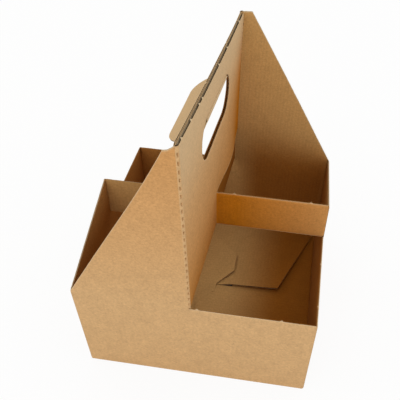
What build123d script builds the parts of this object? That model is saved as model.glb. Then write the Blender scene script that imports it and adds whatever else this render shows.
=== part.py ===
"""Cardboard cup carrier, folded from one die-cut blank of thin corrugated board.

Four cup spaces lie round a two-ply handle. The blank runs round the carrier
as one strip: each tall half of the front and back walls folds inwards into a
handle ply, and below the middle of each ply a strap folds off sideways, crosses
to the side wall and folds into it. The whole is the same after half a turn
about the vertical axis, apart from the glued joint and the hand hole's flap.

Millimetres, +X right, +Y back, +Z up, origin at the middle of the base.
"""

import os
from math import cos, radians, sin, tan

from build123d import *

# Board and its folds
board = 1.5
fold_inside_radius = 0.5
crease_round = 1.2

# Outer size of the tray
width = 190.0
depth = 192.0

# Heights above the base
low_wall_height = 92.0
slope_foot_height = 96.0
strap_top_height = 128.0
handle_height = 240.0

# Handle of two plies, turned a little out of the middle plane
handle_skew = 1.7
ply_gap = 0.3
ply_end_clearance = 0.3
top_land = 9.2

# Perforated fold between a tall panel and its ply: slits through the board, the first one pitch below the top
perforation_pitch = 6.2
perforation_slit_length = 2.7
perforation_slit_width = 0.6

# Hand hole, and the flap that was its cut-out
hand_hole_length = 88.0
hand_hole_width = 33.0
hand_hole_below_top = 38.0
flap_swing = 63.0
flap_play = 0.5
flap_end_play = 1.5
flap_hinge_drop = 3.5
flap_hinge_length = 56.0

# Glued joint inside the front wall
glue_tab_width = 28.0
glue_tab_end_gap = 7.0
glue_tab_taper = 5.0

# Bottom of four interlocked flaps
flap_edge_gap = 10.0
end_flap_edge_length = 122.0
end_flap_side_clearance = 0.8
tongue_reach = 14.8
tongue_near_corner = 23.0
tongue_far_corner = 45.0
tongue_shoulder_angle = 45.0
tongue_notch = 26.0
tongue_meeting = 0.2
flap_step_length = 10.0

# Reach of a cutting shape beyond what it cuts
overshoot = 1.0

# Places that follow from the sizes above
fold_outside_radius = fold_inside_radius + board
fold_mid_radius = fold_inside_radius + board / 2
wall_mid_x = (width - board) / 2
wall_mid_y = (depth - board) / 2
inner_x = width / 2 - board
inner_y = depth / 2 - board
ply_mid = (ply_gap + board) / 2
hand_hole_height = handle_height - hand_hole_below_top
hand_hole_top = hand_hole_height + hand_hole_width / 2


def ply_x(y):
    """Distance to the right of the middle at which the right ply's mid-surface stands at a given y."""
    return ply_mid / cos(radians(handle_skew)) + y * tan(radians(handle_skew))


handle_plane = Plane(
    origin=(0, 0, 0),
    x_dir=(sin(radians(handle_skew)), cos(radians(handle_skew)), 0),
    z_dir=(cos(radians(handle_skew)), -sin(radians(handle_skew)), 0),
)

# Upper half of the strip: side wall, tall front panel, right ply and right strap
with BuildPart() as upper_half:
    # Between the low walls and the strap tops the strip runs from strap to strap
    with BuildSketch(Plane.XY.offset(low_wall_height)):
        with BuildLine():
            FilletPolyline(
                (-width / 4, 0),
                (-wall_mid_x, 0),
                (-wall_mid_x, -wall_mid_y),
                (ply_x(-wall_mid_y), -wall_mid_y),
                (ply_x(0), 0),
                (width / 4, 0),
                radius=fold_mid_radius,
            )
        trace(line_width=board)
    extrude(amount=strap_top_height - low_wall_height)

    # Above the straps only the tall panel and its ply go on, the ply to the back wall
    with BuildSketch(Plane.XY.offset(strap_top_height)):
        with BuildLine():
            FilletPolyline(
                (-wall_mid_x + fold_outside_radius, -wall_mid_y),
                (ply_x(-wall_mid_y), -wall_mid_y),
                (ply_x(inner_y - ply_end_clearance), inner_y - ply_end_clearance),
                radius=fold_mid_radius,
            )
        trace(line_width=board)
    extrude(amount=handle_height - strap_top_height)

    # Sloping top edge of the tall panel, up to the level land beside the handle
    with BuildSketch(Plane.XZ.offset(depth / 2 + overshoot)):
        with BuildLine():
            Polyline(
                (-width / 2 - overshoot, slope_foot_height),
                (-width / 2, slope_foot_height),
                (ply_x(-wall_mid_y) - top_land, handle_height),
                (ply_x(-wall_mid_y) - top_land, handle_height + overshoot),
                (-width / 2 - overshoot, handle_height + overshoot),
                close=True,
            )
        make_face()
    extrude(amount=-(overshoot + board + fold_inside_radius), mode=Mode.SUBTRACT)

    # Sloping top edge of the side wall's front half, up to the strap
    with BuildSketch(Plane.YZ.offset(-width / 2 - overshoot)):
        with BuildLine():
            Polyline(
                (-depth / 2, slope_foot_height),
                (-fold_outside_radius, strap_top_height),
                (-fold_outside_radius, strap_top_height + overshoot),
                (-depth / 2, strap_top_height + overshoot),
                close=True,
            )
        make_face()
    extrude(amount=overshoot + board + fold_inside_radius, mode=Mode.SUBTRACT)

    # Slits of the perforated fold, across the middle of its bend
    fold_turn = 90 - handle_skew
    fold_setback = fold_mid_radius * tan(radians(fold_turn / 2))
    slit_count = int((handle_height - low_wall_height - perforation_slit_length / 2) / perforation_pitch)
    with Locations(
        [
            Location(
                (
                    ply_x(-wall_mid_y) - fold_setback,
                    fold_mid_radius - wall_mid_y,
                    handle_height - perforation_pitch * number,
                ),
                (0, 0, fold_turn / 2 - 90),
            )
            for number in range(1, slit_count + 1)
        ]
    ):
        Box(
            fold_outside_radius + overshoot,
            perforation_slit_width,
            perforation_slit_length,
            align=(Align.MIN, Align.CENTER, Align.CENTER),
            mode=Mode.SUBTRACT,
        )

    # Hand hole
    with BuildSketch(handle_plane):
        with Locations((0, hand_hole_height)):
            SlotOverall(hand_hole_length, hand_hole_width)
    extrude(amount=ply_mid + board, mode=Mode.SUBTRACT)

# Side flap of the bottom: low towards the front, stepping up over the back flap
with BuildPart() as side_flap:
    shoulder_run = inner_y - tongue_far_corner
    with BuildSketch():
        with BuildLine():
            Polyline(
                (-inner_x, -inner_y),
                (-tongue_notch, -inner_y),
                (-tongue_notch, flap_play - flap_edge_gap / 2),
                (tongue_meeting, flap_play - flap_edge_gap / 2),
                (tongue_meeting, flap_edge_gap / 2),
                (tongue_reach, tongue_near_corner),
                (tongue_reach, tongue_far_corner),
                (tongue_reach - shoulder_run / tan(radians(tongue_shoulder_angle)), inner_y),
                (-inner_x, inner_y),
                close=True,
            )
        make_face()
    extrude(amount=2 * board)
    with BuildSketch(Plane.YZ.offset(-width / 2)):
        with BuildLine():
            Polyline(
                (-depth / 2, 0),
                (-flap_step_length / 2, 0),
                (flap_step_length / 2, board),
                (depth / 2, board),
                (depth / 2, 2 * board),
                (flap_step_length / 2, 2 * board),
                (-flap_step_length / 2, board),
                (-depth / 2, board),
                close=True,
            )
        make_face()
    extrude(amount=width, mode=Mode.INTERSECT)

# Back flap of the bottom: low under the side flap's tongue, stepping up beyond it
with BuildPart() as end_flap:
    root_half_length = inner_x - end_flap_side_clearance
    with BuildSketch():
        with BuildLine():
            Polyline(
                (-end_flap_edge_length / 2, flap_edge_gap / 2),
                (end_flap_edge_length / 2, flap_edge_gap / 2),
                (root_half_length, inner_y),
                (-root_half_length, inner_y),
                close=True,
            )
        make_face()
    extrude(amount=2 * board)
    with BuildSketch(Plane.XZ):
        with BuildLine():
            Polyline(
                (-width / 2, 0),
                (tongue_reach, 0),
                (tongue_reach + flap_step_length, board),
                (width / 2, board),
                (width / 2, 2 * board),
                (tongue_reach + flap_step_length, 2 * board),
                (tongue_reach, board),
                (-width / 2, board),
                close=True,
            )
        make_face()
    extrude(amount=-depth / 2, mode=Mode.INTERSECT)

# Flap from the right ply's hand hole, pushed out through the left ply's hole
with BuildPart() as hand_flap:
    hinge = handle_plane.location * Location((0, hand_hole_top, ply_mid))
    flap_plane = Plane(hinge * Location((0, -flap_hinge_drop, 0), (flap_swing, 0, 0)))
    with BuildSketch(flap_plane.offset(-board / 2)):
        with Locations((0, flap_hinge_drop - hand_hole_width / 2)):
            SlotOverall(hand_hole_length - 2 * flap_end_play, hand_hole_width - 2 * flap_play)
        with Locations((0, -board / 2)):
            Rectangle(hand_hole_length, hand_hole_width, align=(Align.CENTER, Align.MIN), mode=Mode.SUBTRACT)
        Rectangle(flap_hinge_length, 2 * board, align=(Align.CENTER, Align.MAX))
    extrude(amount=board)
    with BuildSketch(Plane(hinge).offset(-board / 2)):
        with Locations((0, board)):
            Rectangle(flap_hinge_length, board + flap_hinge_drop, align=(Align.CENTER, Align.MAX))
    extrude(amount=board)
    with Locations(flap_plane.location):
        Cylinder(radius=board / 2, height=flap_hinge_length, rotation=(0, 90, 0))

with BuildPart() as cup_carrier:
    # Low walls, with rounded upright folds and a creased bottom edge
    with BuildSketch():
        RectangleRounded(width, depth, fold_outside_radius)
    extrude(amount=low_wall_height)
    fillet(faces().sort_by(Axis.Z)[0].edges(), radius=crease_round)
    with BuildSketch():
        RectangleRounded(width - 2 * board, depth - 2 * board, fold_inside_radius)
    extrude(amount=low_wall_height, mode=Mode.SUBTRACT)

    # The same again after half a turn
    with PolarLocations(0, 2):
        add(upper_half.part)
        add(side_flap.part)
        add(end_flap.part)

    # Glued joint: the left wall's tab, lapped behind the tall front panel
    with BuildSketch(Plane.XZ.offset(inner_y)):
        with BuildLine():
            Polyline(
                (-inner_x - board / 2, glue_tab_end_gap),
                (-inner_x + glue_tab_width, glue_tab_end_gap + glue_tab_taper),
                (-inner_x + glue_tab_width, low_wall_height - glue_tab_end_gap - glue_tab_taper),
                (-inner_x - board / 2, low_wall_height - glue_tab_end_gap),
                close=True,
            )
        make_face()
    extrude(amount=-board)
    add(hand_flap.part)

cup_carrier.part.label = "cup_carrier"

os.makedirs("parts", exist_ok=True)
export_step(cup_carrier.part, "parts/cup_carrier.step")
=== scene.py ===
"""Dresses the packed cardboard cup carrier as real thin corrugated board.

The carrier is one blank: an outer kraft liner, a wavy medium and an inner liner,
folded round four cup spaces and a two-ply handle. Each panel is a sheet in the
blank's own developed coordinates, a distance along the strip and a height up the
flutes, carried to its place by the route that the strip takes in plan.
Everything is in metres in the model's frame.
"""

from functools import partial
from math import cos, pi, radians, sin, tan

import bpy
import numpy as np
from bpy.props import FloatProperty, FloatVectorProperty, PointerProperty
from bpy.types import Operator, Panel, PropertyGroup
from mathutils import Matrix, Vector


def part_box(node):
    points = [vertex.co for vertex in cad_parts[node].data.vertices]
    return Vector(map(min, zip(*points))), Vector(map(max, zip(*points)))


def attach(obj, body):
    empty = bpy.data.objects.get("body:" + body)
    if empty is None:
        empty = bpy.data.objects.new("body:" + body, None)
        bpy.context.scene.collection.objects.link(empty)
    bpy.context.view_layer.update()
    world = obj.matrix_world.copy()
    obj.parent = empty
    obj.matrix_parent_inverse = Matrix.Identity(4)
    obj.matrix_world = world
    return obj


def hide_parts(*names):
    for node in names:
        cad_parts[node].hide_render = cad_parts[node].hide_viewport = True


bl_info = {
    "name": "Cardboard Cup Carrier",
    "version": (1, 0, 0),
    "blender": (4, 5, 0),
    "location": "View3D > Sidebar > Cup Carrier",
    "description": "Builds a folded corrugated cup carrier on its packed frame",
    "category": "Add Mesh",
}

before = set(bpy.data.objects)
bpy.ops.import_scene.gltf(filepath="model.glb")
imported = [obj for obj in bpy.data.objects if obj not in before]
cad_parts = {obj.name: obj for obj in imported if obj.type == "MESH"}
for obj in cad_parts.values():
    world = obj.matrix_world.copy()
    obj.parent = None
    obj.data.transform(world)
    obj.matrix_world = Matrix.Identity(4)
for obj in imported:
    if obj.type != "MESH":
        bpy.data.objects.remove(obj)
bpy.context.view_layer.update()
MM = 0.001
NODE = "cup_carrier"
NODE_LOW, NODE_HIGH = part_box(NODE)

# The three papers of corrugated board, in the order of a piece's material slots
OUTER, INNER, MEDIUM = range(3)

# Rows of points above a creased foot, in from a cut edge, in from a flap's hinge, in from the hand flap's
# free edge and across the score of a fold, in millimetres
FOOT_ROWS = (0, 0.1, 0.25, 0.4, 0.6, 0.8, 2.5)
EDGE_ROWS = (0, 0.4, 0.9, 1.6, 2.8)
HINGE_ROWS = (0, 0.3, 0.6, 1.0, 1.6)
FLAP_ROWS = (0, 0.1, 0.3, 0.6, 1.0)
SCORE_ROWS = (-1, -0.6, -0.3, 0, 0.3, 0.6, 1)

# Columns across a perforated fold, and rows from one of its cuts to the next
FOLD_COLUMNS = 21
ROWS_PER_CUT = 16

# How far the fluted paper reaches in from a cut edge, and how far behind the edge it starts
FLUTE_DEPTH = 7 * MM
RECESS = 0.15 * MM

# Reach of the bell curves of a torn rim, a fibre nick and the score of a fold
RIM_REACH = 0.6 * MM
NICK_REACH = 0.7 * MM
SCORE_REACH = 0.6 * MM

# How much thickness the outer and the inner liner lose at a cut edge, as shares of the crush: walls, bottom
# flaps, folded-in parts, hand holes, and the right and left ply, of which the right one has sprung open
WALL_CRUSH = (0.85, 0.15)
FLAP_CRUSH = (0.7, 0.0)
EVEN_CRUSH = (0.5, 0.5)
HOLE_CRUSH = (0.6, 0.4)
PLY_CRUSH = {False: (-0.1, -1.0), True: (0.75, 0.0)}

# How far the fluted paper starts behind the top edge of the right and left ply
PLY_RECESS = {False: 4.5 * MM, True: 1.5 * MM}

# Heights over which the left ply moves off the right one and over which the bulge of a ply's free edge fades
SPREAD_RISE = 45 * MM
BULGE_FADE = 22 * MM

# How far behind the middle a side flap starts to rise into its tongue
TONGUE_ROOT = 15 * MM

# The handle leans by its height to this power, and the back wall bows fully at this height
LEAN_POWER = 1.6
BOW_HEIGHT = 150 * MM

# Radius of the hand flap's bend at its middle, and columns along the flap
FLAP_BEND = 1.4 * MM
FLAP_COLUMNS = 121

# How far the paper goes towards the torn colour, as shares of it: torn fibre at every cut rim and along the
# sloping edges, the plies paler down to a depth below their tops, painted light on the pushed-out flap, which
# faces the light, and a painted highlight along the perforated folds between their cuts
RIM_WEAR = 0.45
SLOPE_WEAR = 0.75
PLY_PALING = 0.4
PLY_PALING_DEPTH = 70 * MM
FLAP_PAINTED_LIGHT = 0.5
FOLD_PAINTED_HIGHLIGHT = 0.05

# How far below its top a ply takes its full painted shade, and the reach of the painted shade in the corner
# at its free end
PLY_DEPTH = 170 * MM
CORNER_REACH = 25 * MM

# Height where painted shade starts on a wall's outer side, growing up towards the handle, and heights between
# which the painted shade on its inner side goes from none at the open one to most at the deep one, with how
# much lower the open one is at the side walls
SLOPE_FOOT = 95 * MM
OPEN_HEIGHT = 150 * MM
DEEP_HEIGHT = 85 * MM
SIDE_DROP = 25 * MM


def length(name, description, default_mm):
    """A size that a user would change, given in millimetres and kept in metres."""
    default = default_mm * MM
    return FloatProperty(name=name, description=description, default=default, unit="LENGTH", precision=5)


def angle(name, description, default_degrees):
    """An angle that a user would change, given in degrees and kept in radians."""
    default = radians(default_degrees)
    return FloatProperty(name=name, description=description, default=default, unit="ROTATION")


def linear(hex_colour):
    """Turns an sRGB hex colour into the linear values that shaders take."""
    channels = np.array([int(hex_colour[i : i + 2], 16) for i in (0, 2, 4)]) / 255
    return tuple(np.where(channels <= 0.04045, channels / 12.92, ((channels + 0.055) / 1.055) ** 2.4))


def colour(name, description, hex_colour):
    """A colour that a user would change."""
    return FloatVectorProperty(
        name=name, description=description, default=linear(hex_colour), subtype="COLOR", min=0, max=1
    )


class CarrierSizes(PropertyGroup):
    """Sizes of the blank and of how it stands."""

    board: length("Board", "Thickness of the corrugated board", 1.5)
    liner: length("Liner", "Thickness of each liner paper", 0.26)
    medium: length("Medium", "Thickness of the fluted paper", 0.2)
    flute_pitch: length("Flute pitch", "Distance from one flute to the next", 3.2)
    fold_radius: length("Fold radius", "Radius of an upright fold at the middle of the board", 1.25)
    foot_round: length("Foot round", "Radius of the crease under the walls", 0.8)
    low_wall: length("Low wall", "Height of the low walls and of the straps' lower edges", 91.4)
    front_foot: length("Front slope foot", "Height of the front sloping edges at their corner", 94.9)
    back_foot: length("Back slope foot", "Height of the back sloping edges at their corner", 101.7)
    strap_top: length("Strap top", "Height of the straps' upper edges", 127.5)
    top_land: length("Top land", "Width of the short top edge beside the handle", 9.2)
    land_drop: length("Land drop", "How much lower the short top edge starts at the front", 4.2)
    front_sag: length("Front sag", "How far the front sloping edge dips under a straight line", 2.1)
    ply_gap: length("Ply gap", "Gap between the two plies of the handle", 0.3)
    ply_end_gap: length("Ply end gap", "Clearance between a ply's free end and the wall", 0.3)
    skew: angle("Skew", "How far the handle is turned out of the middle plane", 1.7)
    front_lean_x: length("Front lean across", "Sideways lean of the handle's top at the front", -2.2)
    middle_lean_x: length("Middle lean across", "How far the handle's top bows sideways at the middle", 1.2)
    back_lean_x: length("Back lean across", "Sideways lean of the handle's top at the back", 2.9)
    front_lean_y: length("Front lean in", "Inward lean of the handle's top at the front", 3.6)
    back_bow: length("Back bow", "How far the back wall's tall panel bows outwards", 2.7)
    flare: length("Flare", "How much farther out the side walls stand at their top than at the base", 1.2)
    free_edge_bulge: length("Free edge bulge", "How far a ply's free lower edge stands out", 3.0)
    ply_spread: length("Ply spread", "How far the left ply stands off the right one", 0.8)
    ply_corner: length("Ply corner", "Rounding of a ply's free top corner", 3.5)


class HandHoleSizes(PropertyGroup):
    """Sizes of the hand hole and its flap."""

    length: length("Length", "Overall length of the hole", 88)
    width: length("Width", "Height of the hole", 33)
    below_top: length("Below top", "From the handle's top edge to the hole's middle", 38)
    shift: length("Shift", "From the ply's middle to the hole's middle, away from the fold", -0.8)
    left_room: length("Left room", "How much larger the left ply's hole is on every side", 1.2)
    flap_swing: angle("Flap swing", "How far the flap is pushed out", 63)
    flap_play: length("Flap play", "Cutting gap round the flap", 0.4)
    flap_shift: length("Flap shift", "How far the flap has slipped along its hole", -1.5)
    hinge_drop: length("Hinge drop", "From the hole's upper edge to the flap's bend", 3.5)
    hinge_length: length("Hinge length", "Length of the crease that holds the flap", 60)


class CreaseSizes(PropertyGroup):
    """Sizes of the perforated folds and of the cut edges."""

    cut_pitch: length("Cut pitch", "Distance between the perforation's cuts", 6.2)
    cut_length: length("Cut length", "Length of each cut", 2.7)
    cut_width: length("Cut width", "Opened width of each cut", 0.7)
    fray: length("Fray", "Roughness of the die-cut edges", 0.08)
    nick: length("Nick", "Height of the fibre nicks left by the die", 0.9)
    crease: length("Crease", "How deep the inner liner is scored along a fold", 0.75)
    crush: length("Crush", "Thickness that the cutting die takes from the board at an edge", 0.7)
    crush_reach: length("Crush reach", "How far in from an edge the board is crushed", 1.3)


class TabSizes(PropertyGroup):
    """Sizes of the glued tab inside the front wall."""

    width: length("Width", "How far the tab reaches along the front wall", 28)
    end_gap: length("End gap", "Height left free under and over the tab", 7)
    taper: length("Taper", "How much each end draws in at the free edge", 5)
    play: length("Play", "Thickness of the glue", 0.05)


class BottomSizes(PropertyGroup):
    """Sizes of the four interlocked flaps."""

    edge_gap: length("Edge gap", "Distance between the end flaps' free edges", 10)
    end_edge: length("End flap edge", "Length of an end flap's free edge", 122)
    end_clearance: length("End clearance", "Room beside an end flap's hinge", 0.8)
    tongue_reach: length("Tongue reach", "How far a side flap's tongue passes the middle", 14.8)
    tongue_near: length("Tongue near", "Nearer corner of the tongue's tip", 23)
    tongue_far: length("Tongue far", "Farther corner of the tongue's tip", 45)
    notch: length("Notch", "How far a side flap stops short under the end flap", 16)
    step: length("Step", "Length over which a flap rises by one board", 10)
    play: length("Play", "Gap where a side flap meets an end flap edge to edge", 0.5)
    tongue_lift: length("Tongue lift", "How far a tongue's tip stands off the end flap", 1.6)
    edge_lift: length("Edge lift", "How far an end flap's free edge stands off the flap below", 1.8)
    corner_lift: length("Corner lift", "How far an end flap's free corner stands up", 3.2)


class Finishes(PropertyGroup):
    """Colours of the papers and the stage."""

    outer: colour("Outer liner", "Kraft liner on the outside", "CAA374")
    # The sheltered colours are painted shade: deeper, browner copies of the liners, mixed in where the
    # carrier shades them
    outer_shaded: colour("Outer liner, sheltered", "Kraft liner that light hasn't faded", "BC7419")
    inner: colour("Inner liner", "Recycled liner on the inside", "BE935B")
    inner_shaded: colour("Inner liner, sheltered", "Recycled liner that light hasn't faded", "9A6020")
    # The medium's colour is darker than the real brown paper, as painted shade inside the flutes and at cut
    # edges
    medium: colour("Medium", "Fluted paper between the liners", "3E2A16")
    # The torn colour marks torn fibre, and is also mixed in as painted light on lit places
    torn_and_lit: colour("Torn fibre", "Rubbed or torn fibre at the edges", "D2BC98")
    floor: colour("Floor", "Plain pale floor", "F4F4F2")


GROUPS = {
    "carrier_sizes": CarrierSizes,
    "carrier_hole": HandHoleSizes,
    "carrier_creases": CreaseSizes,
    "carrier_tab": TabSizes,
    "carrier_bottom": BottomSizes,
    "carrier_finishes": Finishes,
}


class Blank:
    """The blank's sizes and the places that follow from them, read once for all the pieces."""

    def __init__(self, scene):
        sizes, hole = scene.carrier_sizes, scene.carrier_hole
        self.sizes, self.hole = sizes, hole
        self.creases, self.tab, self.bottom = scene.carrier_creases, scene.carrier_tab, scene.carrier_bottom
        self.half = sizes.board / 2
        self.mid_x = NODE_HIGH.x - self.half
        self.mid_y = NODE_HIGH.y - self.half
        self.inner_x = NODE_HIGH.x - sizes.board
        self.inner_y = NODE_HIGH.y - sizes.board
        self.top = NODE_HIGH.z
        self.hole_height = self.top - hole.below_top
        self.ply_mid = (sizes.ply_gap + sizes.board) / 2

    def ply_x(self, y):
        """Where the right ply's middle stands at a given y: a straight line through the skewed handle."""
        return self.ply_mid / cos(self.sizes.skew) + y * tan(self.sizes.skew)

    def settle(self, points):
        """Lean of the handle, bow of the back wall and flare of the tray, as cardboard stands.

        The handle moves by a share that grows as a power of height above the low walls: sideways by a line
        from front to back plus a parabola over its middle. The back wall bows out as half a sine wave, more
        with height. The tray widens in a straight line up to the low walls' top.
        """
        x, y, z = np.moveaxis(points, -1, 0)
        sizes = self.sizes
        share = np.clip((z - sizes.low_wall) / (self.top - sizes.low_wall), 0, 1) ** LEAN_POWER
        back = np.clip((y - NODE_LOW.y) / (NODE_HIGH.y - NODE_LOW.y), 0, 1)
        lean_x = sizes.front_lean_x + (sizes.back_lean_x - sizes.front_lean_x) * back
        lean_x = lean_x + sizes.middle_lean_x * 4 * back * (1 - back)
        tall = np.clip(x / NODE_HIGH.x, 0, 1) * (y > self.inner_y - 1 * MM)
        bow = sizes.back_bow * np.sin(pi * tall) * np.clip(z / BOW_HEIGHT, 0, 1)
        x = x * (1 + sizes.flare / NODE_HIGH.x * (np.clip(z / sizes.low_wall, 0, 1) - 0.5))
        return np.stack([x + share * lean_x, y + share * sizes.front_lean_y * (1 - back) + bow, z], axis=-1)

    def columns(self, start, end, arcs=()):
        """Even places along a sheet, a quarter of a flute apart, and closer ones over each fold's score."""
        count = max(3, int(round((end - start) / (self.sizes.flute_pitch / 4))) + 1)
        scores = [sum(arc) / 2 + step * MM for arc in arcs for step in SCORE_ROWS]
        return np.sort(np.append(np.linspace(start, end, count), scores))

    def fray(self, s, seed):
        """Roughness of a die-cut edge: even noise along it, from a seed of its own for each edge."""
        return np.random.default_rng(seed).normal(size=len(s)) * self.creases.fray

    def scored(self, distance):
        """How deep the inner liner is pressed at a distance from a fold's middle, as a bell curve."""
        return self.creases.crease * bell(distance, SCORE_REACH)

    def crushed(self, edge, shares):
        """How far the two liners are pressed in at a distance from a cut edge, as a bell curve."""
        lost = self.creases.crush * bell(edge, self.creases.crush_reach)
        return lost * shares[0], lost * shares[1]


class Route:
    """Straight runs joined by arcs that touch both, as distances along the route against plan points."""

    ARC_POINTS = 25

    def __init__(self, corners, radius):
        corners = np.array(corners, float)
        ahead = np.diff(corners, axis=0)
        ahead /= np.linalg.norm(ahead, axis=1)[:, None]
        points = [corners[:1]]
        self.arcs = []
        for corner, before, after in zip(corners[1:-1], ahead[:-1], ahead[1:]):
            turn = np.arctan2(before[0] * after[1] - before[1] * after[0], before @ after)
            setback = radius * tan(abs(turn) / 2)
            side = np.sign(turn) * np.array([-before[1], before[0]])
            swing = np.linspace(0, abs(turn), self.ARC_POINTS)[:, None]
            centre = corner - before * setback + side * radius
            points.append(centre + radius * (np.sin(swing) * before - np.cos(swing) * side))
        points.append(corners[-1:])
        counts = np.cumsum([len(run) for run in points])
        self.points = np.concatenate(points)
        self.along = np.concatenate([[0], np.cumsum(np.linalg.norm(np.diff(self.points, axis=0), axis=1))])
        self.arcs = [(self.along[a], self.along[b - 1]) for a, b in zip(counts[:-2], counts[1:-1])]
        self.length = self.along[-1]

    def at(self, s):
        """Plan point at a distance along the route."""
        return np.interp(s, self.along, self.points[:, 0]), np.interp(s, self.along, self.points[:, 1])


def half_turn(points):
    """The carrier's other half: x and y change sign."""
    return points * np.array([-1, -1, 1])


def turn_over(surface, turned):
    """The same sheet after half a turn, or as it is."""
    if not turned:
        return surface
    return lambda s, z: half_turn(surface(s, z))


def offset(surface, s, z, distance):
    """Point at a distance from a sheet's middle, along the cross product of its two directions."""
    step = 0.05 * MM
    along, up = surface(s + step, z) - surface(s - step, z), surface(s, z + step) - surface(s, z - step)
    normal = np.cross(along, up)
    normal /= np.linalg.norm(normal, axis=-1, keepdims=True)
    return surface(s, z) + normal * np.asarray(distance)[..., None]


def ease(share):
    """Smooth step from 0 to 1 as its share goes from 0 to 1: 3 x squared less 2 x cubed."""
    share = np.clip(share, 0, 1)
    return share * share * (3 - 2 * share)


def bell(distance, reach):
    """Bell curve, 1 in the middle: e to the power of minus the square of distance over reach."""
    return np.exp(-((distance / reach) ** 2))


def nicks(s, places):
    """Share from 0 to 1 of the fibre nicks that the die left uncut: a bell curve at each place."""
    return sum(bell(s - place, NICK_REACH) for place in places)


def front_painted_shade(points):
    """Painted shade on a wall's outer side, darker with height: 0 on the low walls, and almost half at the
    top by the handle.
    """
    return 0.45 * np.clip((points[:, 2] - SLOPE_FOOT) / (NODE_HIGH.z - SLOPE_FOOT), 0, 1)


def wall_painted_shade(points):
    """Painted shade on a wall's inner side, where the walls shade it: 0 at the open height and most at the
    deep one.

    It is less beside the handle, on the right wall and, most of all, on the left.
    """
    x, y, z = points.T
    start = OPEN_HEIGHT - SIDE_DROP * np.abs(x) / NODE_HIGH.x
    deep = ease((start - z) / (start - DEEP_HEIGHT)) * ease(np.abs(x) / (30 * MM))
    return deep * np.where(x > 0, np.where(x > NODE_HIGH.x - 5 * MM, 0.8, 0.9), 0.75)


def ply_painted_shade(points, end=0):
    """Painted shade on a ply: growing with depth below its top, and towards the corner at its free end.

    end is 1 where the free end is at the back, -1 where it is at the front and 0 for the fold.
    """
    x, y, z = points.T
    down = NODE_HIGH.z - z
    corner = np.exp(-(NODE_HIGH.y - np.abs(y)) / CORNER_REACH) * ease(down / CORNER_REACH / 2) * (y * end > 0)
    return np.clip(0.95 * np.clip(down / PLY_DEPTH, 0, 1) ** 1.3 + 0.9 * corner, 0, 1)


def fold_painted_shade(points):
    """Painted shade on a perforated fold: a little more than the mean of that on its wall and on its ply."""
    return 0.12 + (front_painted_shade(points) + ply_painted_shade(points)) / 2


def gap_painted_shade(points):
    """Painted shade in the gap between the plies, on their inner faces: from 0 at their top edge to 1 at 2 mm
    below it.
    """
    return ease((NODE_HIGH.z - points[:, 2]) / (2 * MM) - 0.3)


def strap_painted_shade(points):
    """Painted shade on a strap: 1 beside the ply, about half at the side wall, and none on the left."""
    x, y, z = points.T
    return np.clip(1.1 - 0.5 * x / NODE_HIGH.x, 0, 1) * (x > 0)


def bottom_painted_shade(points):
    """Painted shade on the bottom, as the side walls' shadow: from 0 near the handle to 1 near a side wall.
    """
    x, y, z = points.T
    return ease((np.abs(x) - 8 * MM) / (58 * MM))


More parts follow.
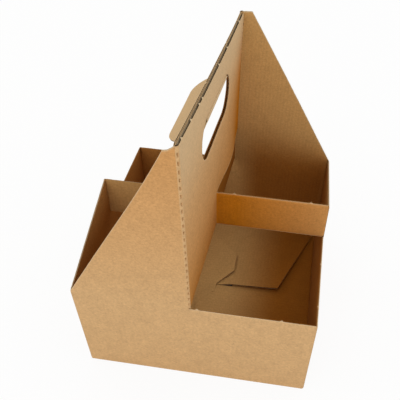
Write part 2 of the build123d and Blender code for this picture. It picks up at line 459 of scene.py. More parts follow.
class Shells:
    """Collects closed shells of paper into one mesh, with developed coordinates, papers, a share of the torn
    colour for torn fibre and painted light, and a share of painted shade.

    The second argument gives the painted shade as a function of points, for each paper that has some.
    """

    def __init__(self, blank, painted_shade=None):
        self.blank = blank
        self.painted_shade = painted_shade or {}
        self.points, self.faces, self.papers, self.flat, self.wear, self.depth = [], [], [], [], [], []
        self.count = 0

    def add(self, face, back, s, z, papers, wear=0.0, ring=False):
        """Two grids of points, one on each side of a paper, sewn together round their rims.

        papers are those of the face, of the back and of the rims.
        """
        columns, rows = s.shape
        ids = np.arange(columns * rows).reshape(columns, rows) + self.count
        under = ids + columns * rows
        if ring:
            ids, under = np.concatenate([ids, ids[:1]]), np.concatenate([under, under[:1]])

        def quads(a, b, c, d):
            return np.stack([a, b, c, d], axis=-1).reshape(-1, 4)

        front = quads(ids[:-1, :-1], ids[1:, :-1], ids[1:, 1:], ids[:-1, 1:])
        rear = quads(under[:-1, :-1], under[:-1, 1:], under[1:, 1:], under[1:, :-1])
        rims = [
            quads(ids[:-1, 0], under[:-1, 0], under[1:, 0], ids[1:, 0]),
            quads(ids[:-1, -1], ids[1:, -1], under[1:, -1], under[:-1, -1]),
        ]
        if not ring:
            rims.append(quads(ids[0, :-1], ids[0, 1:], under[0, 1:], under[0, :-1]))
            rims.append(quads(ids[-1, :-1], under[-1, :-1], under[-1, 1:], ids[-1, 1:]))
        rim = np.concatenate(rims)
        self.faces += [front, rear, rim]
        self.papers += [np.full(len(side), paper) for side, paper in zip((front, rear, rim), papers)]
        self.points += [face.reshape(-1, 3), back.reshape(-1, 3)]
        self.flat += [np.stack([s, z], axis=-1).reshape(-1, 2)] * 2
        self.wear += [np.broadcast_to(wear, s.shape).ravel()] * 2
        # Painted shade for each side's points, from the function given for its rim's paper
        painted_shade = self.painted_shade.get(papers[2], lambda points: 0 * points[:, 2])
        self.depth += [painted_shade(side.reshape(-1, 3)) for side in (face, back)]
        self.count += 2 * columns * rows

    def liners(self, surface, s, z, edge, crush=EVEN_CRUSH, nick=0, wear=0, dent=0, ring=False, foot=False):
        """The board's two liners, each a closed shell of paper, pressed together towards a cut edge.

        edge is the distance from the nearest cut edge, nick bends the outer liner's rim over the edge, dent
        is the depth of a fold's score in the inner liner, and foot rounds the outer liner off under the wall.
        """
        blank = self.blank
        liner = blank.sizes.liner
        tuck = np.zeros_like(z)
        if foot:
            radius = blank.sizes.foot_round
            below = np.clip(radius - z, 0, radius)
            tuck = radius - np.sqrt(radius**2 - below**2)
        outer_in, inner_in = blank.crushed(edge, crush)
        rim = bell(edge, RIM_REACH)
        outer = blank.half - tuck - outer_in - nick * rim * (blank.sizes.board - 2 * liner)
        inner = inner_in - blank.half + dent
        face, back = offset(surface, s, z, outer), offset(surface, s, z, outer - liner + tuck * 0.7)
        pale = np.clip(np.maximum(RIM_WEAR * rim, wear) + nick * rim, 0, 1)
        # Both liners' faces towards the flutes take the dark medium paper, as painted shade where the board
        # lies open at a cut
        self.add(face, back, s, z, (OUTER, MEDIUM, OUTER), pale, ring)
        face, back = offset(surface, s, z, inner + liner), offset(surface, s, z, inner)
        self.add(face, back, s, z, (MEDIUM, INNER, INNER), wear, ring)

    def flutes(self, surface, start, end, cut, inward, crush=EVEN_CRUSH, recess=RECESS):
        """The fluted medium behind a cut edge: a sine wave across the board that touches both liners.

        cut is the edge's height, or gives it at a distance along the sheet, and inward is 1 where the board
        lies above the edge and -1 where it lies below.
        """
        sizes = self.blank.sizes
        count = max(9, int(round((end - start) / (sizes.flute_pitch / 8))) + 1)
        s = np.linspace(start, end, count)[:, None]
        edge = np.array([recess, recess + 1 * MM, recess + 2.5 * MM, FLUTE_DEPTH])[::inward]
        s, z = np.broadcast_arrays(s, (cut(s) if callable(cut) else cut) + edge * inward)
        outer_in, inner_in = self.blank.crushed(edge, crush)
        room = np.clip(self.blank.half - sizes.liner - sizes.medium / 2 - (outer_in + inner_in) / 2, 0, None)
        middle = (inner_in - outer_in) / 2 + room * np.cos(2 * pi * s / sizes.flute_pitch)
        face = offset(surface, s, z, middle + sizes.medium / 2)
        back = offset(surface, s, z, middle - sizes.medium / 2)
        self.add(face, back, s, z, (MEDIUM,) * 3)

    def make(self, name):
        """Puts the collected shells into one object that stands for the packed node."""
        mesh = bpy.data.meshes.new(name)
        points = np.concatenate(self.points).astype(np.float32)
        faces = np.concatenate(self.faces).astype(np.int32)
        mesh.vertices.add(len(points))
        mesh.vertices.foreach_set("co", points.ravel())
        mesh.loops.add(faces.size)
        mesh.loops.foreach_set("vertex_index", faces.ravel())
        mesh.polygons.add(len(faces))
        mesh.polygons.foreach_set("loop_start", np.arange(0, faces.size, 4, dtype=np.int32))
        mesh.polygons.foreach_set("material_index", np.concatenate(self.papers).astype(np.int32))
        mesh.update(calc_edges=True)
        flat = np.concatenate(self.flat).astype(np.float32)[faces.ravel()]
        mesh.uv_layers.new(name="blank").data.foreach_set("uv", flat.ravel())
        # Attributes: a share of the torn colour, for torn fibre and painted light, and a share of painted
        # shade
        for title, values in (("wear", self.wear), ("painted_shade", self.depth)):
            attribute = mesh.attributes.new(title, "FLOAT", "POINT")
            attribute.data.foreach_set("value", np.concatenate(values).astype(np.float32))
        mesh.shade_smooth()
        mesh.set_sharp_from_angle(angle=radians(40))
        mesh.validate()
        for material in board_papers():
            mesh.materials.append(material)
        piece = bpy.data.objects.new(name, mesh)
        bpy.context.scene.collection.objects.link(piece)
        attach(piece, "root")
        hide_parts(NODE)


def grid(s, low, high, foot=(0,), head=(0,), middle=8):
    """Rows up a sheet: fixed distances above its lower edge and below its upper one, even steps between.

    Where the sheet is too narrow for them, the fixed distances shrink with it.
    """
    s, low, high = np.broadcast_arrays(np.asarray(s, float), low, high)
    room = np.minimum(1, (high - low) / ((foot[-1] + head[-1] + 1) * MM))[:, None] * MM
    share = np.linspace(0, 1, middle + 2)[1:-1]
    bottom = low[:, None] + np.array(foot) * room
    top = high[:, None] - np.array(head)[::-1] * room
    between = bottom[:, -1:] + (top[:, :1] - bottom[:, -1:]) * share
    z = np.concatenate([bottom, between, top], axis=1)
    return np.broadcast_to(s[:, None], z.shape), z


def standing(blank, route, turned=False, bow=None):
    """A sheet that stands on a route in plan: a distance along it, and a height."""

    def surface(s, z):
        x, y = route.at(s)
        points = np.stack([x, y, z + 0 * x], axis=-1)
        if bow is not None:
            points = points + bow(s, z)
        return blank.settle(half_turn(points) if turned else points)

    return surface


class Walls:
    """Places along the strip: where the tall sheet turns its corners and where its neighbours begin."""

    def __init__(self, blank):
        self.blank = blank
        radius, skew = blank.sizes.fold_radius, blank.sizes.skew
        ply_end = blank.inner_y - blank.sizes.ply_end_gap
        left, front, right = -blank.mid_x, -blank.mid_y, blank.mid_x
        tall = [(left, 0), (left, front), (blank.ply_x(front), front), (blank.ply_x(ply_end), ply_end)]
        self.tall = Route(tall, radius)
        self.corner, self.fold = self.tall.arcs
        fold_setback = radius * tan((pi / 2 - skew) / 2)
        self.land = self.fold[0] + fold_setback - blank.sizes.top_land
        run_up = 20 * MM
        strap = [(blank.ply_x(-run_up), -run_up), (blank.ply_x(0), 0), (right, 0), (right, run_up)]
        self.strap = Route(strap, radius)
        self.strap_start, self.strap_end = self.strap.arcs[0][0], self.strap.arcs[1][1]
        self.ply_strap = self.tall.length - (ply_end + run_up) / cos(skew) + self.strap_start
        self.low = Route([(self.tall.at(self.fold[0])[0], front), (right, front), (right, 0)], radius)
        self.ply_middle = self.tall.length - ply_end / cos(skew)
        self.hole_middle = self.ply_middle + blank.hole.shift

    def tall_top(self, s, turned):
        """Top edge of the tall sheet: two slopes that meet at the corner, then a short land beside the fold.

        The front land starts lower and curves up into the fold as a quarter of a cosine wave, and the front
        slope dips as half a sine wave of its share to the power 2.6.
        """
        sizes, top = self.blank.sizes, self.blank.top
        foot, drop, sag = sizes.front_foot, sizes.land_drop, sizes.front_sag
        if turned:
            foot, drop, sag = sizes.back_foot, 0, 0
        corner = sum(self.corner) / 2
        slopes = np.interp(s, [0, corner, self.land], [sizes.strap_top, foot, top - drop])
        dip = sag * np.sin(pi * np.clip((s - corner) / (self.land - corner), 0, 1) ** 2.6)
        share = np.clip((s - self.land) / (self.fold[0] - self.land), 0, 1)
        return slopes - dip + drop * (1 - np.cos(share * pi / 2))

    def ply_top(self, s):
        """Top edge of a ply: level, and a quarter circle down to its free end."""
        radius = self.blank.sizes.ply_corner
        past = np.clip(s - (self.tall.length - radius), 0, radius)
        return self.blank.top - radius + np.sqrt(radius**2 - past**2)


def ply_bow(blank, walls, turned):
    """How a ply stands out of its plane: a bulge over its free lower edge, and the left ply's gap.

    The bulge is a squared half sine wave along the sheet that dies away with height, and the gap eases in.
    """
    sizes = blank.sizes

    def bow(s, z):
        past = np.clip((s - walls.ply_middle) / (walls.tall.length - walls.ply_middle), 0, 1)
        fade = np.exp(-np.clip(z - sizes.strap_top, 0, None) / BULGE_FADE)
        along = ease((s - walls.fold[1]) / (walls.ply_middle - walls.fold[1]))
        spread = turned * sizes.ply_spread * along * ease((z - sizes.strap_top) / SPREAD_RISE)
        out = sizes.free_edge_bulge * np.sin(pi * past) ** 2 * fade + spread
        return np.stack([out, 0 * out, 0 * out], axis=-1)

    return bow


class CARRIER_OT_walls(Operator):
    """Build the four walls: two tall sheets with sloping edges and two low ones"""

    bl_idname = "carrier.walls"
    bl_label = "Walls"

    def execute(self, context):
        blank = Blank(context.scene)
        walls = Walls(blank)
        low_wall = blank.sizes.low_wall
        # Nicks along the low wall's top edge, as shares of its length
        places = {False: (0.035, 0.37, 0.6, 0.83), True: (0.06, 0.21, 0.55)}
        # Painted shade on the walls: rising towards the handle outside, and deep down inside
        shells = Shells(blank, {OUTER: front_painted_shade, INNER: wall_painted_shade})
        for turned in (False, True):
            tall = standing(blank, walls.tall, turned)
            corner = sum(walls.corner) / 2
            s = np.sort(np.append(blank.columns(0, walls.fold[0], [walls.corner]), [corner, walls.land]))
            top = walls.tall_top(s, turned) + blank.fray(s, 11 + turned)
            s, z = grid(s, 0 * s, top, FOOT_ROWS, EDGE_ROWS, 12)
            edge = z[:, -1:] - z
            pale = SLOPE_WEAR * bell(edge, RIM_REACH)
            shells.liners(tall, s, z, edge, WALL_CRUSH, wear=pale, dent=blank.scored(s - corner), foot=True)
            shells.flutes(tall, 0, walls.fold[0], partial(walls.tall_top, turned=turned), -1, WALL_CRUSH)
            low = standing(blank, walls.low, turned)
            s = blank.columns(0, walls.low.length, walls.low.arcs)
            nick = nicks(s, [share * walls.low.length for share in places[turned]])
            top = low_wall + blank.fray(s, 21 + turned) + nick * blank.creases.nick
            s, z = grid(s, 0 * s, top, FOOT_ROWS, EDGE_ROWS, 6)
            edge = z[:, -1:] - z
            dent = blank.scored(s - sum(walls.low.arcs[0]) / 2)
            shells.liners(low, s, z, edge, WALL_CRUSH, nick[:, None], dent=dent, foot=True)
            shells.flutes(low, 0, walls.low.length, low_wall, -1, WALL_CRUSH)
        # The left wall's tab, glued behind the front panel and narrower towards its free edge
        tab = blank.tab
        lap = -blank.inner_y + blank.half + tab.play
        surface = standing(blank, Route([(-blank.inner_x, lap), (0, lap)], 0))
        s = blank.columns(0, tab.width)
        foot = tab.end_gap + tab.taper * s / tab.width
        s, z = grid(s, foot, low_wall - foot, EDGE_ROWS, EDGE_ROWS, 8)
        edge = np.minimum(np.minimum(z - z[:, :1], z[:, -1:] - z), tab.width - s)
        shells.liners(surface, s, z, edge)
        shells.make("walls")
        return {"FINISHED"}


class CARRIER_OT_straps(Operator):
    """Build the two straps that fold off the plies and cross to the side walls"""

    bl_idname = "carrier.straps"
    bl_label = "Straps"

    def execute(self, context):
        blank = Blank(context.scene)
        walls = Walls(blank)
        sizes = blank.sizes
        start, end = walls.strap_start, walls.strap_end
        # Painted shade on the right strap's outer side
        shells = Shells(blank, {OUTER: strap_painted_shade})
        for turned in (False, True):
            strap = standing(blank, walls.strap, turned)
            s = blank.columns(start, end, walls.strap.arcs[1:])
            # One nick near the ply, one near the side wall
            nick = nicks(s, [start + share * (end - start) for share in (0.17, 0.84)])
            low = sizes.low_wall + blank.fray(s, 31 + turned)
            top = sizes.strap_top + blank.fray(s, 33 + turned) + nick * blank.creases.nick
            s, z = grid(s, low, top, EDGE_ROWS, EDGE_ROWS, 3)
            edge = np.minimum(z - z[:, :1], z[:, -1:] - z)
            nick = nick[:, None] * (z > sizes.strap_top - FLUTE_DEPTH)
            dent = blank.scored(s - sum(walls.strap.arcs[1]) / 2)
            shells.liners(strap, s, z, edge, WALL_CRUSH, nick, dent=dent)
            shells.flutes(strap, start, end, sizes.strap_top, -1, WALL_CRUSH)
            shells.flutes(strap, start, end, sizes.low_wall, 1, WALL_CRUSH)
        shells.make("straps")
        return {"FINISHED"}


def ply_round_hole(blank, walls, radius, reach):
    """Upper ply in developed coordinates: rays from the hand hole's edge to the sheet's four sides.

    A side's point goes to the nearest point of the hole's middle line, and the hole's edge is met on the way.
    radius is the hole's own, and reach is half the length of its middle line. Also gives the distance from
    the nearest cut edge, where the fold and the run into the strap aren't cut, and which points are nearer to
    the hole.
    """
    left, right = walls.fold[1], walls.tall.length
    low, high = blank.sizes.strap_top, blank.top
    across, up = blank.columns(left, right), blank.columns(low, high)
    end = low + (up - low) * (walls.ply_top(right) - low) / (high - low)
    sides = [
        (across[:0:-1], low + 0 * across[:0:-1], across[:0:-1] > walls.ply_middle),
        (left + 0 * up[:-1], up[:-1], np.zeros(len(up) - 1, bool)),
        (across[:-1], walls.ply_top(across[:-1]), np.ones(len(across) - 1, bool)),
        (right + 0 * end[:0:-1], end[:0:-1], np.ones(len(end) - 1, bool)),
    ]
    side_s, side_z, cut = (np.concatenate(parts) for parts in zip(*sides))
    spine = np.clip(side_s, walls.hole_middle - reach, walls.hole_middle + reach)
    ray_s, ray_z = side_s - spine, side_z - blank.hole_height
    distance = np.hypot(ray_s, ray_z)
    hole_s, hole_z = spine + ray_s / distance * radius, blank.hole_height + ray_z / distance * radius
    run = (distance - radius)[:, None]
    near = np.array(EDGE_ROWS) * MM
    middle = near[-1] + (run - 2 * near[-1]) * np.linspace(0, 1, 12)[1:-1]
    rows = np.concatenate([near + 0 * run, middle, run - near[::-1]], axis=1)
    s = hole_s[:, None] + (side_s - hole_s)[:, None] * rows / run
    z = hole_z[:, None] + (side_z - hole_z)[:, None] * rows / run
    return s, z, np.minimum(rows, np.where(cut[:, None], run - rows, FLUTE_DEPTH)), rows < run / 2


class CARRIER_OT_handle(Operator):
    """Build the two plies of the handle, each with its hand hole"""

    bl_idname = "carrier.handle"
    bl_label = "Handle plies"

    def execute(self, context):
        blank = Blank(context.scene)
        walls = Walls(blank)
        sizes, hole = blank.sizes, blank.hole
        start, end = walls.fold[1], walls.tall.length
        # Nicks along each ply's top edge, as shares of its length from the fold
        places = {False: (0.035, 0.14, 0.24, 0.28, 0.52, 0.66, 0.9), True: (0.3, 0.62)}
        for name, turned in (("right_ply", False), ("left_ply", True)):
            free_end = -1 if turned else 1
            # Painted shade down each ply, towards its free corner and in the gap between the plies
            shells = Shells(blank, {OUTER: lambda points: ply_painted_shade(points, free_end), INNER: gap_painted_shade})
            ply = standing(blank, walls.tall, turned, ply_bow(blank, walls, turned))
            radius = hole.width / 2 + turned * hole.left_room
            reach = (hole.length - hole.width) / 2
            s, z, edge, inside = ply_round_hole(blank, walls, radius, reach)
            crush = [np.where(inside, *shares) for shares in zip(HOLE_CRUSH, PLY_CRUSH[turned])]
            upper = z > blank.top - FLUTE_DEPTH
            nick = nicks(s, [start + share * (end - start) for share in places[turned]]) * upper
            # The right ply's top edge is torn twice as rough
            rough = np.abs(blank.fray(s[:, 0], 41 + turned))[:, None] * np.where(upper & (not turned), 2, 1)
            inward = np.where(z > blank.hole_height, -1, 1)
            z = z + bell(edge, RIM_REACH) * (inward * rough + nick * blank.creases.nick)
            # The plies turn paler towards their tops, fading out over a depth below them
            paled = PLY_PALING * ease(1 - (blank.top - z) / PLY_PALING_DEPTH)
            shells.liners(ply, s, z, edge, crush, nick, wear=paled, ring=True)
            shells.flutes(ply, start, end, walls.ply_top, -1, PLY_CRUSH[turned], PLY_RECESS[turned])
            shells.flutes(ply, walls.ply_middle, end, sizes.strap_top, 1)
            ends = (walls.hole_middle - reach - radius, walls.hole_middle + reach + radius)
            for sign in (1, -1):

                def edge_of_hole(along):
                    """Upper or lower edge of the hand hole: a half circle at each end."""
                    past = np.clip(np.abs(along - walls.hole_middle) - reach, 0, radius)
                    return blank.hole_height + sign * np.sqrt(radius**2 - past**2)

                shells.flutes(ply, *ends, edge_of_hole, sign, HOLE_CRUSH)
            # The lower ply, from the fold to the strap
            s = blank.columns(start, walls.ply_strap)
            low = sizes.low_wall + blank.fray(s, 45 + turned)
            s, z = grid(s, low, sizes.strap_top, EDGE_ROWS, (0,), 4)
            shells.liners(ply, s, z, z - z[:, :1])
            shells.flutes(ply, start, walls.ply_strap, sizes.low_wall, 1)
            shells.make(name)
        return {"FINISHED"}


class CARRIER_OT_folds(Operator):
    """Build the two perforated folds between the tall walls and the handle"""

    bl_idname = "carrier.folds"
    bl_label = "Perforated folds"

    def execute(self, context):
        blank = Blank(context.scene)
        walls = Walls(blank)
        sizes, creases = blank.sizes, blank.creases
        shells = Shells(blank, {OUTER: fold_painted_shade})
        start, end = walls.fold
        step = creases.cut_pitch / ROWS_PER_CUT
        rows = int(round((blank.top - sizes.low_wall) / step))
        z = np.linspace(sizes.low_wall, blank.top, rows + 1)
        s, z = np.meshgrid(np.linspace(start, end, FOLD_COLUMNS), z, indexing="ij")
        # Distance from the middle of the nearest cut, and how open the cut is there
        phase = (blank.top - z) / creases.cut_pitch
        along = np.abs((phase - 0.5) % 1 - 0.5) * creases.cut_pitch
        cut = np.clip((creases.cut_length / 2 - along) / step + 0.5, 0, 1) * (phase > 0.5)
        across = np.abs(s - (start + end) / 2)
        groove = np.clip(1.4 - across / (creases.cut_width / 2), 0, 1)
        depth = cut * groove * (sizes.board - 0.15 * MM)
        # A painted highlight along the middle of each fold, between its cuts
        paling = FOLD_PAINTED_HIGHLIGHT * np.clip(1.2 - across / (0.9 * MM), 0, 1) * (1 - cut)
        for turned in (False, True):
            fold = standing(blank, walls.tall, turned)
            face = offset(fold, s, z, blank.half - depth)
            back = offset(fold, s, z, 0 * z - blank.half)
            shells.add(face, back, s, z, (OUTER, INNER, MEDIUM), paling)
        shells.make("perforated_folds")
        return {"FINISHED"}


class CARRIER_OT_bottom(Operator):
    """Build the four interlocked flaps of the bottom"""

    bl_idname = "carrier.bottom"
    bl_label = "Bottom flaps"

    def execute(self, context):
        blank = Blank(context.scene)
        bottom, board = blank.bottom, blank.sizes.board
        gap = bottom.edge_gap / 2

        def side_place(s, z):
            """Left side flap: level at the front, a step up over the back end flap, and a raised tongue."""
            x, y = z * -1 - blank.inner_x, -s
            over = np.clip((x + TONGUE_ROOT) / (bottom.tongue_reach + TONGUE_ROOT), 0, 1)
            lift = bottom.tongue_lift * over**2 * ease((y - gap) / gap)
            height = blank.half + board * ease((y + bottom.step / 2) / bottom.step) + lift
            return np.stack([x, y, height], axis=-1)

        def end_place(s, z):
            """Back end flap: level under the tongue, then a step up, with its free edge and corner raised."""
            x, y = -s, blank.inner_y + z
            start = np.interp(y, [gap, bottom.tongue_near], [0, bottom.tongue_reach])
            free = np.clip((x - start) / (bottom.end_edge / 2 - start), 0, 1.3)
            out = np.clip(-z / blank.inner_y, 0, 1) ** 1.3
            edge_lift = bottom.edge_lift * ease((x - start) / (1.5 * bottom.step))
            lift = out * (bottom.corner_lift * free**2 + edge_lift)
            height = blank.half + board * ease((x - start) / (2 * bottom.step)) + lift
            return np.stack([x, y, height], axis=-1)

        # The side flap's free edge from front to back, as y and x: notch, meeting line, tongue, shoulder
        shoulder = blank.inner_y - bottom.tongue_far
        outline_y, outline_x = np.transpose(
            [
                (-blank.inner_y, -bottom.notch),
                (-gap, -bottom.notch),
                (bottom.play - gap, 0),
                (gap, 0),
                (bottom.tongue_near, bottom.tongue_reach),
                (bottom.tongue_far, bottom.tongue_reach),
                (blank.inner_y, bottom.tongue_reach - shoulder),
            ]
        )
        end_half, end_root = bottom.end_edge / 2, blank.inner_x - bottom.end_clearance

        def side_edge(along):
            return -np.interp(-along, outline_y, outline_x) - blank.inner_x

        def end_edge(along):
            return -np.interp(np.abs(along), [end_half, end_root], [blank.inner_y - gap, 0.5 * MM])

        # Painted shade on the flaps' inner liner, growing towards the side walls
        shells = Shells(blank, {INNER: bottom_painted_shade})
        for turned in (False, True):
            side = turn_over(side_place, turned)
            s = np.sort(np.append(blank.columns(-blank.inner_y, blank.inner_y), -outline_y[1:-1]))
            # Where the two side flaps meet, the edge is neither frayed nor crushed
            low = side_edge(s) + np.abs(blank.fray(s, 51 + turned)) * (np.abs(s) > gap)
            s, z = grid(s, low, 0, EDGE_ROWS, HINGE_ROWS, 12)
            edge = z - z[:, :1] + FLUTE_DEPTH * (np.abs(s) < gap)
            shells.liners(side, s, z, edge, FLAP_CRUSH, dent=blank.scored(z))
            shells.flutes(side, -blank.inner_y, blank.inner_y, side_edge, 1, FLAP_CRUSH)
            end = turn_over(end_place, turned)
            s = np.sort(np.append(blank.columns(-end_root, end_root), [-end_half, end_half]))
            low = end_edge(s) + np.abs(blank.fray(s, 53 + turned))
            s, z = grid(s, low, 0, EDGE_ROWS, HINGE_ROWS, 12)
            shells.liners(end, s, z, z - z[:, :1], FLAP_CRUSH, dent=blank.scored(z))
            shells.flutes(end, -end_half, end_half, end_edge, 1, FLAP_CRUSH)
        shells.make("bottom_flaps")
        return {"FINISHED"}


class CARRIER_OT_hand_flap(Operator):
    """Build the flap that is pushed out of the hand hole"""

    bl_idname = "carrier.hand_flap"
    bl_label = "Hand-hole flap"

    def execute(self, context):
        blank = Blank(context.scene)
        walls = Walls(blank)
        hole = blank.hole
        hinge_height = blank.hole_height + hole.width / 2
        root = 2 * MM
        tip = (-hole.width * sin(hole.flap_swing), -hole.hinge_drop - hole.width * cos(hole.flap_swing))
        bend = Route([(0, root), (0, -hole.hinge_drop), tip], FLAP_BEND)
        sideways = np.array([cos(blank.sizes.skew), -sin(blank.sizes.skew), 0])

        def place(s, z):
            """The flap hangs from the ply over the hinge and bends out along its route, across and down."""
            across, down = bend.at(hinge_height + root - z)
            x, y = walls.tall.at(s)
            points = np.stack([x, y, hinge_height + down], axis=-1) + across[..., None] * sideways
            return blank.settle(points)

        radius = hole.width / 2 - hole.flap_play
        reach = hole.length / 2 - hole.flap_play - radius
        middle = walls.hole_middle + hole.flap_shift

        def half_height(along):
            """Half the flap's height: a half circle at each end."""
            past = np.clip(np.abs(along - middle) - reach, 0, radius)
            return np.sqrt(radius**2 - past**2)

        def free_edge(along):
            return blank.hole_height - half_height(along)

        # Columns crowd towards the rounded ends, as the sine of an even angle, and stop just short of them
        half_length = reach + radius * 0.999
        s = middle + half_length * np.sin(np.linspace(-pi / 2, pi / 2, FLAP_COLUMNS))
        high = np.minimum(blank.hole_height + half_height(s), hinge_height - hole.hinge_drop / 2)
        hinged = np.abs(s - walls.hole_middle) < hole.hinge_length / 2
        high = np.where(hinged, hinge_height + blank.half, high)
        s, z = grid(s, free_edge(s), high, FLAP_ROWS, (0, 1, 2, 3, 4), 8)
        shells = Shells(blank)
        # The flap is painted lighter and greyer all over, as painted light where it faces the light
        shells.liners(place, s, z, z - z[:, :1], PLY_CRUSH[True], wear=FLAP_PAINTED_LIGHT)
        shells.flutes(place, middle - half_length, middle + half_length, free_edge, 1, PLY_CRUSH[True])
        shells.make("hand_flap")
        return {"FINISHED"}


def add_node(tree, kind, values=(), links=(), **settings):
    """One shader node with its settings, its sockets' values and its incoming links."""
    node = tree.nodes.new("ShaderNode" + kind)
    for key, value in settings.items():
        setattr(node, key, value)
    for socket, value in dict(values).items():
        node.inputs[socket].default_value = value
    for socket, source in dict(links).items():
        tree.links.new(source, node.inputs[socket])
    return node


def emptied(owner):
    """Empties the node tree of a material or a world, and gives what adds nodes to it."""
    owner.use_nodes = True
    owner.node_tree.nodes.clear()
    return partial(add_node, owner.node_tree)


# Sizes in paper: clouds of formation, finer clots of fibre, bark flecks, and a fibre's length and width. Real
# fibres are a few hundredths of a millimetre wide, too fine to show, so they are drawn coarser.
CLOUD_SIZE = 9.091 * MM
CLOT_SIZE = 1.613 * MM
FLECK_SPACING = 2.381 * MM
FIBRE_LENGTH = 4.167 * MM
FIBRE_WIDTH = 0.6667 * MM

# Kraft liner is long softwood fibre pressed smooth on the machine: an even warm tan with dark bark specks.
# Recycled liner is greyer and softer, and its glued flutes show through. Fluted medium is thin and rough.
PAPERS = {
    "kraft_liner": dict(speck=0.13, mottle=0.045, flute_show=0.006, relief=0.03 * MM, roughness=0.82),
    "recycled_liner": dict(speck=0.12, mottle=0.04, flute_show=0.018, relief=0.03 * MM, roughness=0.88),
    "fluted_medium": dict(speck=0.12, mottle=0.05, flute_show=0.0, relief=0.02 * MM, roughness=0.9),
}


def paper_material(name, base, shade_colour, torn_and_lit, pitch, speck, mottle, flute_show, relief, roughness):
    """Uncoated paper: cloudy formation, short fibres and flecks, and the flutes showing through, with painted
    shade, and torn fibre with painted light, from the piece's attributes.

    base is its linear colour. The next colour is that of painted shade, mixed in by the piece's shade
    attribute. The one after it is that of torn fibre, mixed in by the piece's other attribute, which also
    paints light on lit places. speck and mottle are shares by which flecks and clouds change it; flute_show
    is the share by which the glued flute tips darken it, and relief is how high fibres and flute tips stand.
    """
    material = bpy.data.materials.new(name)
    node = emptied(material)
    here = {"Vector": node("TexCoord").outputs["Object"]}
    sheet = {"Vector": node("UVMap", uv_map="blank").outputs["UV"]}
    clouds = node("TexNoise", {"Scale": 1 / CLOUD_SIZE, "Detail": 3.0, "Roughness": 0.6}, here).outputs["Fac"]
    clots = node("TexNoise", {"Scale": 1 / CLOT_SIZE, "Detail": 4.0, "Roughness": 0.7}, here).outputs["Fac"]
    flecks = node("TexVoronoi", {"Scale": 1 / FLECK_SPACING}, here).outputs["Distance"]
    # Fibres lie mostly across the flutes, the way that the paper machine ran
    along = node("Mapping", {"Scale": (1 / FIBRE_LENGTH, 1 / FIBRE_WIDTH, 1.0)}, sheet).outputs["Vector"]
    fibres = node("TexNoise", {"Scale": 1.0, "Detail": 3.0}, {"Vector": along}).outputs["Fac"]
    across = {0: node("SeparateXYZ", links=sheet).outputs["X"]}
    phase = node("Math", {1: 2 * pi / pitch}, across, operation="MULTIPLY").outputs[0]
    wave = node("Math", links={0: phase}, operation="COSINE").outputs[0]
    # Each pattern, the tones at its low and high end, and the values where they are reached
    tones = [
        (wave, 1 + flute_show, 1 - flute_show, -1.0, 1.0),
        (clouds, 1 - mottle, 1 + mottle, 0.3, 0.7),
        (clots, 1 - speck, 1 + speck, 0.3, 0.7),
        (fibres, 1 - speck * 0.5, 1 + speck * 0.5, 0.3, 0.7),
        (flecks, 1 - speck * 0.9, 1.0, 0.08, 0.26),
    ]
    tone = None
    for pattern, low, high, start, stop in tones:
        ends = {"From Min": start, "From Max": stop, "To Min": low, "To Max": high}
        share = node("MapRange", ends, {"Value": pattern}).outputs["Result"]
        if tone is not None:
            share = node("Math", links={0: tone, 1: share}, operation="MULTIPLY").outputs[0]
        tone = share
    # Painted shade moves the colour towards the shade colour, and the torn colour is mixed in for torn fibre
    # and as painted light
    paling = node("Attribute", attribute_name="wear").outputs["Fac"]
    deep = node("Attribute", attribute_name="painted_shade").outputs["Fac"]
    painted_shade_mix = node("Mix", {"A": (*base, 1), "B": (*shade_colour, 1)}, {"Factor": deep}, data_type="RGBA")
    dyed = node("VectorMath", links={0: painted_shade_mix.outputs["Result"], "Scale": tone}, operation="SCALE")
    paled = node("Mix", {"B": (*torn_and_lit, 1)}, {"A": dyed.outputs["Vector"], "Factor": paling}, data_type="RGBA")
    # Fibres and clots stand about half as high as the flute tips
    fuzz = node("Math", {1: 0.5}, {0: clots, 2: fibres}, operation="MULTIPLY_ADD").outputs[0]
    ridges = node("Math", {1: 0.55}, {0: wave, 2: fuzz}, operation="MULTIPLY_ADD").outputs[0]
    bump = node("Bump", {"Strength": 1.0, "Distance": relief}, {"Height": ridges}).outputs["Normal"]
    surface = node(
        "BsdfPrincipled",
        {"Roughness": roughness, "IOR": 1.45, "Specular IOR Level": 0.06},
        {"Base Color": paled.outputs["Result"], "Normal": bump},
    )
    node("OutputMaterial", links={"Surface": surface.outputs["BSDF"]})
    return material


def board_papers():
    """The board's three papers in the order of the material slots, made once."""
    if "kraft_liner" not in bpy.data.materials:
        scene = bpy.context.scene
        finishes, pitch = scene.carrier_finishes, scene.carrier_sizes.flute_pitch
        colours = (
            (finishes.outer, finishes.outer_shaded),
            (finishes.inner, finishes.inner_shaded),
            (finishes.medium, finishes.medium),
        )
        for (name, paper), (base, shade_colour) in zip(PAPERS.items(), colours):
            paper_material(name, base, shade_colour, finishes.torn_and_lit, pitch, **paper)
    return [bpy.data.materials[name] for name in PAPERS]


def floor_material(name, tone, glow_share):
    """Matt white paper backdrop: the camera sees mostly plain white, and the carrier's soft shadow."""
    material = bpy.data.materials.new(name)
    node = emptied(material)
    seen = {0: node("LightPath").outputs["Is Camera Ray"]}
    share = node("Math", {1: glow_share}, seen, operation="MULTIPLY").outputs[0]
    matt = node("BsdfDiffuse", {"Color": (*tone, 1)}).outputs["BSDF"]
    glow = node("Emission", {"Color": (1, 1, 1, 1), "Strength": 1.0}).outputs["Emission"]
    mixed = node("MixShader", links={0: share, 1: matt, 2: glow}).outputs["Shader"]
    node("OutputMaterial", links={"Surface": mixed})
    return material


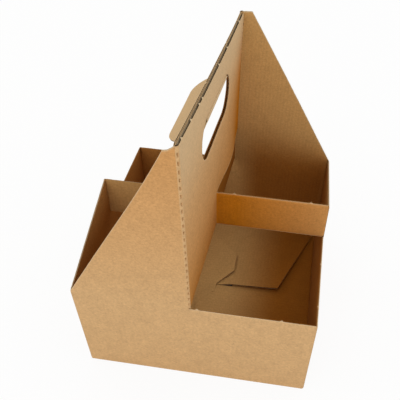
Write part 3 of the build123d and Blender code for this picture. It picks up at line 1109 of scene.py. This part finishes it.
# The camera as the photograph's own geometry gives it: pixels of the 400 by 400 frame, metres and degrees
PHOTO_PIXELS = 400
FOCAL_PIXELS = 552.0
PRINCIPAL_X = 245.7
PRINCIPAL_Y = 234.1
SENSOR_WIDTH = 36.0
CAMERA_PLACE = (0.06565, -0.34196, 0.43005)
CAMERA_TURN = (44.692, -1.864, 8.231)

# The floor's side, the share of plain white in what the camera sees of it, the world's light, and a soft
# front lamp with its place, side and power, aimed at the carrier
FLOOR_SIDE = 3.0
FLOOR_GLOW = 0.9
WORLD_STRENGTH = 0.93
LAMP_PLACE = Vector((-0.3, -1.5, 0.9))
LAMP_SIDE = 1.0
LAMP_POWER = 3.5
AIM = Vector((0, 0, 0.1))


class CARRIER_OT_stage(Operator):
    """Build the pale floor, the studio light and the camera"""

    bl_idname = "carrier.stage"
    bl_label = "Stage"

    def execute(self, context):
        scene = context.scene
        mesh = bpy.data.meshes.new("floor")
        # A square ring round the carrier's footprint, and the footprint itself, which no light reaches
        corners = np.array([(-1, -1), (1, -1), (1, 1), (-1, 1)])
        foot = np.array(NODE_HIGH.xy) - scene.carrier_sizes.board
        rings = np.concatenate([corners * FLOOR_SIDE / 2, corners * foot])
        faces = [(k, (k + 1) % 4, (k + 1) % 4 + 4, k + 4) for k in range(4)] + [(4, 5, 6, 7)]
        mesh.from_pydata([(x, y, 0) for x, y in rings], [], faces)
        pale = np.array(scene.carrier_finishes.floor)
        mesh.materials.append(floor_material("white_backdrop", pale, FLOOR_GLOW))
        mesh.materials.append(floor_material("shaded_backdrop", pale * 0.1, 0))
        mesh.polygons[4].material_index = 1
        floor = bpy.data.objects.new("floor", mesh)
        scene.collection.objects.link(floor)

        world = bpy.data.worlds.new("studio")
        node = emptied(world)
        rays = node("LightPath").outputs
        seen = node("Math", links={0: rays["Is Camera Ray"], 1: rays["Is Glossy Ray"]}, operation="MAXIMUM")
        ends = {"To Min": WORLD_STRENGTH, "To Max": 1.0}
        strength = node("MapRange", ends, {"Value": seen.outputs[0]}).outputs["Result"]
        light = node("Background", {"Color": (1, 1, 1, 1)}, {"Strength": strength}).outputs["Background"]
        node("OutputWorld", links={"Surface": light})
        scene.world = world

        lamp = bpy.data.lights.new("front", "AREA")
        lamp.shape = "SQUARE"
        lamp.size = LAMP_SIDE
        lamp.energy = LAMP_POWER
        lamp_object = bpy.data.objects.new("front", lamp)
        lamp_object.location = LAMP_PLACE
        lamp_object.rotation_euler = (AIM - LAMP_PLACE).to_track_quat("-Z", "Y").to_euler()
        scene.collection.objects.link(lamp_object)

        camera = bpy.data.cameras.new("camera")
        camera.sensor_width = SENSOR_WIDTH
        camera.lens = FOCAL_PIXELS * SENSOR_WIDTH / PHOTO_PIXELS
        camera.shift_x = (PHOTO_PIXELS / 2 - PRINCIPAL_X) / PHOTO_PIXELS
        camera.shift_y = (PRINCIPAL_Y - PHOTO_PIXELS / 2) / PHOTO_PIXELS
        camera_object = bpy.data.objects.new("camera", camera)
        camera_object.location = CAMERA_PLACE
        camera_object.rotation_euler = [radians(turn) for turn in CAMERA_TURN]
        scene.collection.objects.link(camera_object)
        scene.camera = camera_object
        scene.view_settings.view_transform = "Standard"
        return {"FINISHED"}


PIECES = (
    CARRIER_OT_walls,
    CARRIER_OT_straps,
    CARRIER_OT_handle,
    CARRIER_OT_folds,
    CARRIER_OT_bottom,
    CARRIER_OT_hand_flap,
    CARRIER_OT_stage,
)


class CARRIER_PT_panel(Panel):
    """Lists the pieces and the sizes that they are made from"""

    bl_idname = "CARRIER_PT_panel"
    bl_label = "Cup Carrier"
    bl_space_type = "VIEW_3D"
    bl_region_type = "UI"
    bl_category = "Cup Carrier"

    def draw(self, context):
        layout = self.layout
        for operator in PIECES:
            layout.operator(operator.bl_idname)
        for name, group in GROUPS.items():
            box = layout.box()
            box.label(text=group.__doc__)
            for prop in group.__annotations__:
                box.prop(getattr(context.scene, name), prop)


def register():
    for group in GROUPS.values():
        bpy.utils.register_class(group)
    for name, group in GROUPS.items():
        setattr(bpy.types.Scene, name, PointerProperty(type=group))
    for operator in PIECES:
        bpy.utils.register_class(operator)
    bpy.utils.register_class(CARRIER_PT_panel)


def unregister():
    bpy.utils.unregister_class(CARRIER_PT_panel)
    for operator in reversed(PIECES):
        bpy.utils.unregister_class(operator)
    for name, group in GROUPS.items():
        delattr(bpy.types.Scene, name)
        bpy.utils.unregister_class(group)


def main():
    """Builds every piece and the stage."""
    register()
    for operator in PIECES:
        group, name = operator.bl_idname.split(".")
        getattr(getattr(bpy.ops, group), name)()


if __name__ == "__main__":
    main()
